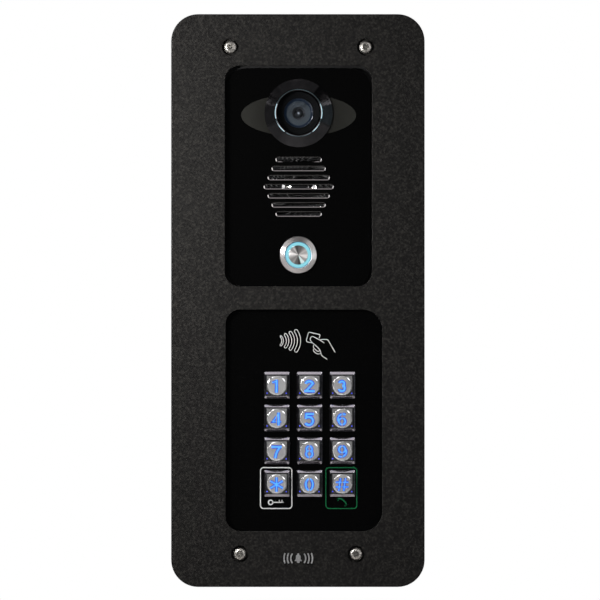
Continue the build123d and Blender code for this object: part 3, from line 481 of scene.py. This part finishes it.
# Lit ring: pale cyan, with a deeper blue line at its outer edge.
halo = finish_for("ring_glow", color=(0.02, 0.05, 0.06), roughness=0.35)
ring_inside, ring_outside = 0.0055, 0.0078
distance = halo.from_axis(middle("call_button_light_ring"))[0]
tint = halo.ramp(
    halo.span(distance, ring_inside, ring_outside, 0.0, 1.0),
    [
        (0.0, (0.2, 0.56, 0.66)),
        (0.35, (0.25, 0.62, 0.70)),
        (0.75, (0.23, 0.59, 0.68)),
        (0.92, (0.05, 0.26, 0.45)),
        (1.0, (0.01, 0.08, 0.2)),
    ],
)
halo.to_shader("Emission Color", tint)
halo.set("Emission Strength", 1.0)
halo.bump(halo.noise(900), 0.1, 0.02)

# Plated frame round the keys.
plated = finish_for("keypad_chrome", color=(0.36, 0.35, 0.39), roughness=0.14, metallic=1.0)
tarnish = plated.noise(240, detail=4.0)
plated.to_shader("Base Color", plated.ramp(tarnish, [(0.3, (0.27, 0.26, 0.29)), (0.7, (0.4, 0.39, 0.43))]))
plated.to_shader("Roughness", plated.span(tarnish, 0.3, 0.7, 0.1, 0.2))
plated.bump(tarnish, 0.1, 0.03)

# Cast metal keys: satin faces with fine vertical grain, and a polished bevel round the disc. One pattern
# centred on key 5 repeats with the keys' pitch, so every key gets the same one.
disc_radius = 0.0057
bevel_radius = 0.00512
keys = finish_for("key_steel", color=gray(0.6), roughness=0.36, metallic=0.72)
grain = keys.noise(1500, detail=4.0, stretch=(1.0, 1.0, 0.22))
wear = keys.noise(210)
key_pitch = (middle("key_6") - middle("key_5")).x
offset = keys.vector("SUBTRACT", keys.coordinates, tuple(middle("key_5")))
place = keys.parts(offset)
across = keys.math("WRAP", place[0], key_pitch / 2, -key_pitch / 2)
upward = keys.math("WRAP", place[2], key_pitch / 2, -key_pitch / 2)
upward = keys.math("ADD", upward, 0.0003)
squares = keys.math("ADD", keys.math("MULTIPLY", across, across), keys.math("MULTIPLY", upward, upward))
from_middle = keys.math("SQRT", squares)
disc = keys.math("LESS_THAN", from_middle, disc_radius)
polished_bevel_and_painted_highlight = keys.math("MULTIPLY", disc, keys.math("GREATER_THAN", from_middle, bevel_radius))
front_facing, up_facing = keys.facing()
level = keys.span(keys.math("MULTIPLY_ADD", up_facing, 0.25, front_facing), 0.92, 0.96, 0.0, 1.0)
level = keys.math("MAXIMUM", level, disc)
satin = keys.span(grain, 0.3, 0.7, 0.3, 0.42)
satin = keys.math("MULTIPLY", satin, keys.math("SUBTRACT", level, polished_bevel_and_painted_highlight))
keys.to_shader("Roughness", keys.math("MAXIMUM", satin, 0.12))
face = keys.math("LESS_THAN", from_middle, bevel_radius)
# Painted light and shade in the base colour: faces that don't face the front are darker, the lower part
# outside the disc darker still, the disc face brighter, and its bevel a painted highlight ring.
low = keys.math("MULTIPLY", keys.math("LESS_THAN", upward, -0.001), keys.math("SUBTRACT", level, disc))
painted_light_and_shade = keys.math("MULTIPLY_ADD", level, 0.32, 0.08)
painted_light_and_shade = keys.math("MULTIPLY_ADD", low, -0.22, painted_light_and_shade)
painted_light_and_shade = keys.math("MULTIPLY_ADD", face, 0.33, painted_light_and_shade)
painted_light_and_shade = keys.math("MULTIPLY_ADD", polished_bevel_and_painted_highlight, 0.6, painted_light_and_shade)
painted_light_and_shade = keys.math("MULTIPLY", keys.span(wear, 0.3, 0.7, 0.84, 1.0), painted_light_and_shade)
keys.to_shader("Base Color", keys.ramp(painted_light_and_shade, [(0.0, gray(0.0)), (1.0, (0.92, 0.92, 0.94))]))
keys.bump(grain, 0.14, 0.02)

# Lit marks: saturated blue resin, a little uneven.
glow = finish_for("key_glow", color=(0.01, 0.03, 0.1), roughness=0.4)
crest = -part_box("key_5_legend")[0].y
forward = glow.math("MULTIPLY", glow.parts(glow.coordinates)[1], -1.0)
core = glow.span(forward, crest - 0.0003, crest - 0.00008, 0.0, 1.0)
uneven = glow.math("MULTIPLY_ADD", glow.math("SUBTRACT", glow.noise(330, detail=2.0), 0.5), 0.5, core)
blues = [(0.0, (0.002, 0.008, 0.5)), (0.4, (0.01, 0.06, 0.85)), (1.0, (0.1, 0.4, 1.0))]
glow.to_shader("Emission Color", glow.ramp(uneven, blues))
glow.set("Emission Strength", 1.15)

for name, node in nodes.items():
    made = finishes[slot_of[name]].material
    for index in range(len(node.data.materials)):
        node.data.materials[index] = made

# --------------------------------------------------------------------- printed graphics


def printed(name, color, strokes, level):
    """Screen-printed lines. strokes are (points, width, closed), with points in millimetres."""
    ink = Finish(name + "_ink", color=color, roughness=0.5, Specular_IOR_Level=0.15)
    speckle = ink.noise(1800, detail=2.0)
    ink.to_shader("Base Color", ink.ramp(speckle, [(0.25, tuple(c * 0.8 for c in color)), (0.6, color)]))
    ink.bump(speckle, 0.2, 0.02)
    mesh = bmesh.new()
    for points, width, closed in strokes:
        draw_stroke(mesh, points, width, closed, level)
    made = finished_mesh(name, mesh, ink.material)
    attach(made, "root")


def draw_stroke(mesh, points, width, closed, level):
    """A flat line of even width, mitred at its corners, with round ends unless it is closed."""
    points = [Vector(p) for p in points]
    count = len(points)
    sides = []
    for index, point in enumerate(points):
        before = points[index - 1] if index or closed else None
        after = points[(index + 1) % count] if index < count - 1 or closed else None
        into = (point - before).normalized() if before is not None else (after - point).normalized()
        out = (after - point).normalized() if after is not None else into
        bisector = (into + out).normalized()
        normal = Vector((-bisector.y, bisector.x))
        stretch = 1.0 / max(0.5, bisector.dot(into))
        offset = normal * (width / 2 * stretch)
        ends = []
        for place in (point + offset, point - offset):
            ends.append(mesh.verts.new((place.x * MM, level, place.y * MM)))
        sides.append(ends)
    for index in range(count if closed else count - 1):
        a, b = sides[index], sides[(index + 1) % count]
        mesh.faces.new((a[0], a[1], b[1], b[0]))
    if not closed:
        for tip in (points[0], points[-1]):
            rim = []
            for step in range(12):
                angle = 2 * math.pi * step / 12
                x = tip.x + width / 2 * math.cos(angle)
                z = tip.y + width / 2 * math.sin(angle)
                rim.append(mesh.verts.new((x * MM, level, z * MM)))
            mesh.faces.new(rim)


def smooth(points, steps=6):
    """A smooth run through the points."""
    made = []
    for index in range(len(points) - 1):
        p0 = Vector(points[max(index - 1, 0)])
        p1 = Vector(points[index])
        p2 = Vector(points[index + 1])
        p3 = Vector(points[min(index + 2, len(points) - 1)])
        for step in range(steps):
            t = step / steps
            made.append(
                0.5 * (2 * p1 + (p2 - p0) * t + (2 * p0 - 5 * p1 + 4 * p2 - p3) * t * t
                       + (3 * p1 - p0 - 3 * p2 + p3) * t * t * t)
            )
    made.append(Vector(points[-1]))
    return made


def rounded_box(left, right, bottom, top, radius):
    """Outline of a box with round corners, in millimetres."""
    made = []
    corners = ((right, top, 0), (left, top, 90), (left, bottom, 180), (right, bottom, 270))
    for x, z, start in corners:
        cx = x - radius if x == right else x + radius
        cz = z - radius if z == top else z + radius
        for step in range(9):
            angle = math.radians(start + step * 90 / 8)
            made.append((cx + radius * math.cos(angle), cz + radius * math.sin(angle)))
    return made


def wave(mid_x, mid_z, half_height, sag, half_width):
    """Outline of one radio wave: a band along an arc, with round ends."""
    half_steps = 8
    line = []
    for step in range(-half_steps, half_steps + 1):
        t = step / half_steps
        line.append(Vector((mid_x - sag * t * t, mid_z + half_height * t)))
    left, right = [], []
    for index, point in enumerate(line):
        along = (line[min(index + 1, 2 * half_steps)] - line[max(index - 1, 0)]).normalized()
        normal = Vector((-along.y, along.x)) * half_width
        left.append(point + normal)
        right.append(point - normal)
    cap_top, cap_bottom = [], []
    top_angle = math.atan2(*reversed(line[-1] - line[-2]))
    low_angle = math.atan2(*reversed(line[0] - line[1]))
    for step in range(1, 6):
        turn = math.radians(-90 + step * 30)
        for cap, end, angle in ((cap_top, line[-1], top_angle), (cap_bottom, line[0], low_angle)):
            cap.append(end + half_width * Vector((math.cos(angle + turn), math.sin(angle + turn))))
    return right + cap_top + list(reversed(left)) + cap_bottom


def circle(x, z, radius, start=0, end=360, steps=24):
    angles = [math.radians(start + (end - start) * step / steps) for step in range(steps + 1)]
    return [(x + radius * math.cos(a), z + radius * math.sin(a)) for a in angles]


ink_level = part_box("keypad_fascia")[0].y - 0.00003
star = middle("key_star") / MM
square = middle("key_hash") / MM
thin_line = 0.43
sign_bottom, sign_top, sign_radius = -14.95, 9.25, 1.9

star_bottom, star_top = star.z + sign_bottom, star.z + sign_top
star_frame = rounded_box(star.x - 9.75, star.x + 8.85, star_bottom, star_top, sign_radius)
white = [(star_frame, 0.62, True)]
# Key sign under the star.
sign_z = star.z - 11.3
white += [
    (circle(star.x - 3.7, sign_z, 1.3)[:-1], 0.7, True),
    ([(star.x - 2.4, sign_z), (star.x + 3.8, sign_z)], 0.6, False),
    ([(star.x + 1.4, sign_z), (star.x + 1.4, sign_z + 1.3)], 0.5, False),
    ([(star.x + 3.0, sign_z), (star.x + 3.0, sign_z + 1.3)], 0.5, False),
]
# Radio waves, from the smallest to the largest.
waves = (
    (-9.06, 2.5, 0.95, 0.48), (-6.08, 3.6, 1.25, 0.72), (-2.83, 4.8, 1.6, 0.82), (0.67, 5.75, 1.75, 0.95),
)
for mid_x, half_height, sag, half_width in waves:
    white.append((wave(mid_x, -23.85, half_height, sag, half_width), thin_line * 0.9, True))
# A hand that holds up a card.
card = [
    (12.56, -22.31), (13.13, -20.5), (12.8, -20.1), (6.9, -18.75),
    (6.2, -19.1), (5.02, -23.5), (5.4, -24.45), (8.3, -25.05),
]
thumb = [
    (15.55, -25.01), (12.99, -23.45), (8.86, -21.32), (7.58, -22.03), (7.30, -23.02), (8.09, -24.50),
    (10.0, -26.15), (12.84, -29.0), (13.56, -30.99), (14.27, -32.70), (17.11, -34.69),
]
back_of_hand = [(12.99, -23.36), (14.69, -23.02), (17.26, -23.17), (18.25, -24.16), (21.95, -30.56)]
upper_finger = [(9.43, -26.44), (9.15, -27.57), (10.14, -28.85), (11.85, -30.13), (12.84, -29.57)]
lower_finger = [(9.15, -28.85), (9.29, -29.85), (10.43, -30.99), (11.85, -31.62), (13.41, -31.42)]
white.append((card, thin_line, False))
for run in (thumb, back_of_hand, upper_finger, lower_finger):
    white.append((smooth(run), thin_line, False))
printed("print_white", (0.55, 0.56, 0.56), white, ink_level)

hash_bottom, hash_top = square.z + sign_bottom, square.z + sign_top
hash_frame = rounded_box(square.x - 9.8, square.x + 8.5, hash_bottom, hash_top, sign_radius)
green = [(hash_frame, 0.6, True)]
# Telephone handset under the hash: a curved grip between two blunt ends.
grip = [(-3.1, -9.5), (-1.8, -9.05), (0.1, -9.8), (1.7, -11.25), (2.4, -12.9)]
grip = smooth([(square.x + x, square.z + z) for x, z in grip])
green += [
    (grip, 0.85, False),
    ([(square.x - 3.1, square.z - 9.5), (square.x - 2.5, square.z - 9.9)], 0.95, False),
    ([(square.x + 2.3, square.z - 12.9), (square.x + 1.7, square.z - 13.2)], 0.95, False),
]
printed("print_green", (0.003, 0.1, 0.034), green, ink_level - 0.00001)

# ---------------------------------------------------------------------- speaker film


def join_rings(mesh, rings):
    """Faces between closed rings of vertices."""
    for inner, outer in zip(rings, rings[1:]):
        count = len(outer)
        for index in range(count):
            after = (index + 1) % count
            mesh.faces.new((inner[index], inner[after], outer[after], outer[index]))


def round_mesh(name, centre, profile, segments, finish, shift=None, body="root"):
    """A turned piece. profile is (radius, y) in millimetres; shift(angle, radius) moves a point along Y."""
    mesh = bmesh.new()
    rings = []
    for radius, y in profile:
        ring = []
        for index in range(segments):
            angle = 2 * math.pi * index / segments
            lift = shift(angle, radius) if shift else 0.0
            x = centre.x + radius * MM * math.cos(angle)
            z = centre.z + radius * MM * math.sin(angle)
            ring.append(mesh.verts.new((x, (y + lift) * MM, z)))
        rings.append(ring)
    join_rings(mesh, rings)
    bmesh.ops.recalc_face_normals(mesh, faces=mesh.faces)
    for face in mesh.faces:
        face.smooth = True
    made = finished_mesh(name, mesh, finish.material)
    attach(made, body)
    return made


speaker = middle("speaker_cone")
film_low, film_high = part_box("speaker_cone")
film_front = film_low.y / MM
film_back = film_high.y / MM


def ribs(angle, radius):
    """Narrow diagonal ribs pressed into the film, highest halfway out."""
    inside, width, count, height = 10.0, 13.0, 34, 0.3
    if radius < inside:
        return 0.0
    swell = math.sin(math.pi * (radius - inside) / width)
    turn = (angle + 0.06 * (radius - 7.0)) * count / math.pi
    across = abs(turn % 2.0 - 1.0)
    return -height * max(swell, 0.0) * max(0.0, 1.0 - across / 0.42) ** 0.7


# From the clamped edge: the ribbed cone, the steeper step inside it, and the dome in the middle.
cone_profile = [(24.5, film_front + 0.1), (23.0, film_front + 0.1)]
cone_profile += [(22.4 - 12.2 * step / 24, film_front + 0.25 + 1.45 * step / 24) for step in range(25)]
cone_profile += [(10.2 - 3.1 * step / 6, film_front + 1.7 + 2.2 * step / 6) for step in range(1, 7)]
cone_profile += [
    (7.0 * math.cos(step * math.pi / 20), film_back - 0.35 - 2.7 * math.sin(step * math.pi / 20))
    for step in range(10)
]
cone_profile += [(0.05, film_back - 3.05)]
ribbed = round_mesh("speaker_film_ribbed", speaker, cone_profile, 408, film, ribs)
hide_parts("speaker_cone")

# ------------------------------------------------------------------------ button spring

# A copy of the spring's mesh stands in for it, fixed to the root.
spring = nodes["call_button_spring"]
coil = show("call_button_coil", spring.data.copy())
coil.matrix_world = spring.matrix_world.copy()
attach(coil, "root")
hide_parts("call_button_spring")
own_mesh(coil)

# ---------------------------------------------------------------------- camera details

lens = middle("camera_lens_glass")
lens_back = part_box("camera_lens_glass")[1].y / MM
# The pupil lens: its pale centre is a painted highlight, in its colour and as emission.
pupil_glass = Finish("pupil_glass_finish", color=(0.03, 0.03, 0.032), roughness=0.22, Specular_IOR_Level=0.1)
painted_highlight_reach = pupil_glass.span(pupil_glass.from_axis(lens)[0], 0.0, 0.0026, 0.0, 1.0)
pupil_tones_with_painted_highlight = [(0.0, gray(0.3)), (0.12, gray(0.2)), (0.3, gray(0.02)), (1.0, gray(0.008))]
painted_pupil_glow = [(0.0, gray(0.25)), (0.12, gray(0.12)), (0.35, gray(0.008)), (1.0, gray(0.002))]
pupil_glass.to_shader("Base Color", pupil_glass.ramp(painted_highlight_reach, pupil_tones_with_painted_highlight))
pupil_glass.to_shader("Emission Color", pupil_glass.ramp(painted_highlight_reach, painted_pupil_glow))
pupil_glass.set("Emission Strength", 1.0)
pupil_glass.to_shader("Roughness", pupil_glass.span(pupil_glass.noise(900), 0.3, 0.7, 0.18, 0.28))
pupil = [
    (2.55 * math.cos(step * math.pi / 24), lens_back + 1.9 - 1.2 * math.sin(step * math.pi / 24))
    for step in range(12)
]
pupil.append((0.02, lens_back + 0.7))
round_mesh("camera_pupil_lens", lens, pupil, 48, pupil_glass)

# ------------------------------------------------------------------ light between keys

leak = Finish("key_leak_glow", color=(0.01, 0.02, 0.06), roughness=0.4)
leak_tones = [(0.3, (0.02, 0.03, 0.6)), (0.7, (0.06, 0.08, 1.0))]
leak.to_shader("Emission Color", leak.ramp(leak.noise(600), leak_tones))
leak.set("Emission Strength", 1.5)
leak_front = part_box("keypad_fascia")[0].y
dot_height = 2.1
dot_profile = ((0.42, -0.25), (0.36, 0.0), (0.2, 0.14), (0.04, 0.18))
for name in nodes:
    if name.startswith("key_") and not name.endswith("_legend"):
        hub = middle(name)
        dots = bmesh.new()
        for dx, dz in ((-5.75, -4.75), (5.5, -4.85)):
            rings = []
            for radius, rise in dot_profile:
                ring = []
                for step in range(14):
                    angle = 2 * math.pi * step / 14
                    x = hub.x + (dx + radius * math.cos(angle)) * MM
                    z = hub.z + (dz + radius * math.sin(angle)) * MM
                    ring.append(dots.verts.new((x, leak_front - (dot_height + rise) * MM, z)))
                rings.append(ring)
            join_rings(dots, rings)
        pair = finished_mesh(name + "_glow_dots", dots, leak.material)
        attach(pair, name + "_body")

# ------------------------------------------------------------------------------ studio

centre = (cad_box[0] + cad_box[1]) / 2


def on_face(z):
    """A point on the panel's face, for a light to aim at."""
    return (0.0, -0.045, z)


def softbox(name, place, target, width, height, power, color=(1.0, 1.0, 1.0)):
    data = bpy.data.lights.new(name, "AREA")
    data.shape = "RECTANGLE"
    data.size = width
    data.size_y = height
    data.energy = power
    data.color = color
    made = show(name, data)
    made.location = place
    made.rotation_euler = (Vector(target) - Vector(place)).to_track_quat("-Z", "Y").to_euler()
    made.visible_camera = False


# Near light at the left, which gives the plate its fall-off to the right.
softbox("key_light", (-0.28, -0.26, 0.11), on_face(0.03), 0.08, 0.08, 2.35, (1.0, 0.985, 0.96))
softbox("front_soft", (-0.65, -2.0, 1.3), centre, 0.8, 0.8, 5.4)
softbox("overhead_strip", (0.0, -0.33, 1.1), centre, 1.2, 0.1, 0.6, (1.0, 0.94, 0.95))
softbox("overhead_panel", (0.0, -0.65, 1.35), on_face(0.1), 1.8, 0.5, 0.5)
softbox("upper_left_panel", (-0.9, -0.63, 1.05), on_face(0.1), 0.45, 0.45, 0.09)
# Strips in an arc at each side, which the flares of the slots and the button's bezel reflect.
strip_reach = 1.06
for turn in (-38, 0, 38):
    rise = strip_reach * math.sin(math.radians(turn))
    reach = strip_reach * math.cos(math.radians(turn))
    softbox("right_strip", (reach, -0.34, 0.07 + rise), on_face(0.07), 0.1, 0.7, 1.6, (1.0, 0.97, 0.96))
    softbox("left_strip", (-reach, -0.34, 0.07 + rise), on_face(0.07), 0.08, 0.7, 1.3)
softbox("right_spot", (0.95, -0.6, 0.0), on_face(0.03), 0.15, 0.5, 0.35, (1.0, 0.94, 0.96))
softbox("left_spot", (-0.95, -0.6, 0.03), on_face(0.03), 0.15, 0.5, 0.11, (1.0, 0.94, 0.96))
softbox("arc_light", (0.69, -0.92, 0.6), on_face(-0.08), 0.15, 0.7, 1.1)
softbox("edge_card", (1.1, -0.08, -0.1), on_face(-0.08), 0.12, 0.6, 0.035)
glow_place = (0.0, -0.09, cad_box[0][2] - 0.1)
softbox("floor_glow", glow_place, on_face(0.0), 0.5, 0.12, 0.035, (1.0, 0.8, 0.68))
softbox("left_card", (-1.2, -0.56, 0.1), on_face(0.1), 0.4, 1.2, 0.22)
softbox("right_card", (1.2, -0.56, 0.1), on_face(0.1), 0.4, 1.2, 0.45, (0.72, 0.93, 1.0))
softbox("back_left", (-1.2, 1.2, 0.8), centre, 1.0, 1.0, 22.0)
softbox("back_right", (1.2, 1.2, 0.5), centre, 1.0, 1.0, 14.0)

floor_finish = Finish("floor_finish", color=(0.45, 0.45, 0.45), roughness=0.7)
floor_finish.bump(floor_finish.noise(40), 0.05, 1.0)
floor_mesh = bmesh.new()
bmesh.ops.create_grid(floor_mesh, x_segments=4, y_segments=4, size=1.2)
floor = finished_mesh("floor", floor_mesh, floor_finish.material)
floor.location = (0.0, -0.65, cad_box[0].z - 0.13)

# The room: white where the camera sees it, dim where the panel reflects it or is lit by it.
world = bpy.data.worlds.new("studio")
bpy.context.scene.world = world
world.use_nodes = True
tree = world.node_tree
dim = tree.nodes["Background"]
dim.inputs["Color"].default_value = (0.9, 0.95, 1.0, 1.0)
dim.inputs["Strength"].default_value = 0.03
pale = tree.nodes.new("ShaderNodeBackground")
pale.inputs["Color"].default_value = (*gray(1.0), 1.0)
pale.inputs["Strength"].default_value = 1.0
ray = tree.nodes.new("ShaderNodeLightPath")
join = tree.nodes.new("ShaderNodeMixShader")
tree.links.new(ray.outputs["Is Camera Ray"], join.inputs[0])
tree.links.new(dim.outputs[0], join.inputs[1])
tree.links.new(pale.outputs[0], join.inputs[2])
tree.links.new(join.outputs[0], tree.nodes["World Output"].inputs["Surface"])

scene = bpy.context.scene
scene.view_settings.view_transform = "Standard"
scene.view_settings.look = "None"

# A long lens, as the photograph shows no perspective. frame_width is what it sees at the panel's face.
lens_mm = 300.0
frame_width = 0.355
camera_data = bpy.data.cameras.new("camera")
camera_data.lens = lens_mm
camera_data.sensor_width = 36.0
camera_data.clip_end = 50.0
camera = show("camera", camera_data)
reach = frame_width * lens_mm / camera_data.sensor_width
camera.location = (0.00124, cad_box[0].y + 0.0015 - reach, 0.00033)
camera.rotation_euler = (math.radians(90), 0.0, 0.0)
scene.camera = camera
